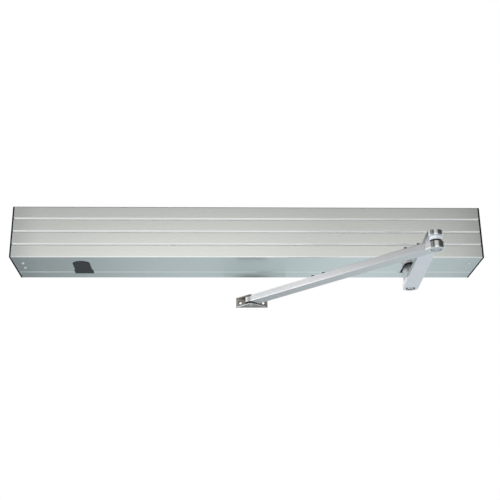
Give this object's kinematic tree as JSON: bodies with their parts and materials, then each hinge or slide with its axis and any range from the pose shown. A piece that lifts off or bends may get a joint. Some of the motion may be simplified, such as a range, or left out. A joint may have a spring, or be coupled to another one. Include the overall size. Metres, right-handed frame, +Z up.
{
  "type": "automatic door operator",
  "caption": "Low-energy swing door operator: long aluminium case with its spindle drive, main arm, adjustable rod and door shoe.",
  "frame": {"origin": "centre of the back plate's wall face", "axes": "+X along the case towards the spindle's end, +Y into the wall, +Z up"},
  "size_m": [0.99, 0.3722, 0.1838],
  "materials": {
    "clear_anodised": "satin",
    "cap_paint": "satin",
    "plug_plastic": "matte",
    "screw_steel": "satin",
    "cast_alloy": "as cast",
    "machined_steel": "machined",
    "bearing_steel": "ground",
    "gear_nylon": "matte",
    "motor_case": "satin",
    "black_plastic": "matte",
    "board_green": "gloss",
    "terminal_green": "matte",
    "terminal_cream": "matte",
    "guide_acetal": "satin",
    "spring_steel": "oiled",
    "zinc_sheet": "zinc plated",
    "brass": "satin",
    "grommet_rubber": "matte",
    "cable_orange": "satin",
    "cable_red": "satin",
    "cable_black": "satin",
    "arm_aluminium": "satin",
    "rod_aluminium": "brushed",
    "bright_steel": "polished",
    "washer_acetal": "satin",
    "black_oxide": "black oxide",
    "shoe_bronze": "bronzed"
  },
  "bodies": {
    "header": {"back_plate": "clear_anodised", "front_cover": "clear_anodised", "end_cap_left": "cap_paint", "end_cap_right": "cap_paint", "cover_screws": "screw_steel", "end_cap_screws": "screw_steel", "spindle_opening_plug": "plug_plastic", "gearbox_housing": "cast_alloy", "gearbox_cover": "cast_alloy", "gearbox_cover_screws": "screw_steel", "gearbox_mounting_screws": "screw_steel", "lower_spindle_bearing": "bearing_steel", "upper_spindle_bearing": "bearing_steel", "bearing_bridge": "cast_alloy", "bridge_screws": "screw_steel", "countershaft_bearings": "brass", "motor_housing": "motor_case", "motor_end_bell": "black_plastic", "motor_screws": "screw_steel", "encoder_board": "board_green", "rack_guide": "guide_acetal", "spring_housing": "cast_alloy", "spring_adjuster": "machined_steel", "spring_housing_screws": "screw_steel", "control_tray": "black_plastic", "control_board": "board_green", "board_components": "black_plastic", "board_terminals": "terminal_green", "module_screws": "screw_steel", "power_supply": "zinc_sheet", "power_supply_cover": "zinc_sheet", "mains_terminal": "terminal_cream", "earth_stud": "brass", "cable_grommet": "grommet_rubber", "mains_cable": "cable_orange", "supply_cable": "cable_red", "motor_cable": "cable_black"},
    "spindle": {"spindle": "machined_steel", "output_gear": "machined_steel", "encoder_disc": "black_plastic", "rack_pinion": "machined_steel", "spindle_extension": "arm_aluminium", "arm_screw": "bright_steel", "main_arm": "arm_aluminium", "elbow_pin": "bright_steel", "elbow_washer": "washer_acetal", "elbow_ring": "black_plastic"},
    "countershaft": {"countershaft": "machined_steel", "intermediate_gear": "gear_nylon"},
    "motor_rotor": {"motor_shaft": "machined_steel"},
    "spring_plunger": {"spring_rack": "machined_steel", "closing_spring": "spring_steel"},
    "rod": {"rod_end": "bright_steel", "rod_tube": "rod_aluminium", "rod_set_screws": "black_oxide"},
    "sliding_bar": {"sliding_bar": "bright_steel"},
    "shoe": {"shoe": "shoe_bronze", "shoe_pin": "bright_steel", "shoe_spacer": "black_plastic"}
  },
  "joints": [
    {"name": "spindle_turn", "type": "hinge", "parent": "header", "child": "spindle", "pos_m": [0.352, -0.05, -0.02], "axis": [0, 0, 1], "range_deg": [-120, 12], "stiffness_Nm_per_rad": 8},
    {"name": "countershaft_turn", "type": "hinge", "parent": "header", "child": "countershaft", "pos_m": [0.298, -0.05, -0.02], "axis": [0, 0, 1], "range_deg": [-36.5, 360.5]},
    {"name": "motor_turn", "type": "hinge", "parent": "header", "child": "motor_rotor", "pos_m": [0.262, -0.05, -0.01], "axis": [0, 0, 1], "range_deg": [-1081, 109]},
    {"name": "spring_slide", "type": "slide", "parent": "header", "child": "spring_plunger", "axis": [1, 0, 0], "range_m": [-0.0029, 0.0284], "deforming": ["closing_spring"]},
    {"name": "elbow_turn", "type": "hinge", "parent": "spindle", "child": "rod", "pos_m": [0.33647, -0.35661, -0.116], "axis": [0, 0, 1], "range_deg": [-45, 120]},
    {"name": "rod_adjust", "type": "slide", "parent": "rod", "child": "sliding_bar", "axis": [-0.6994, 0.7147, 0], "range_m": [0, 0.065]},
    {"name": "shoe_turn", "type": "hinge", "parent": "sliding_bar", "child": "shoe", "pos_m": [0.00773, -0.0207, -0.1165], "axis": [0, 0, 1], "range_deg": [-45, 130]}
  ],
  "couplings": [
    {"joint": "countershaft_turn", "follows": "spindle_turn", "ratio": -3},
    {"joint": "motor_turn", "follows": "spindle_turn", "ratio": 9},
    {"joint": "spring_slide", "follows": "spindle_turn", "m_per_rad": -0.0135}
  ]
}
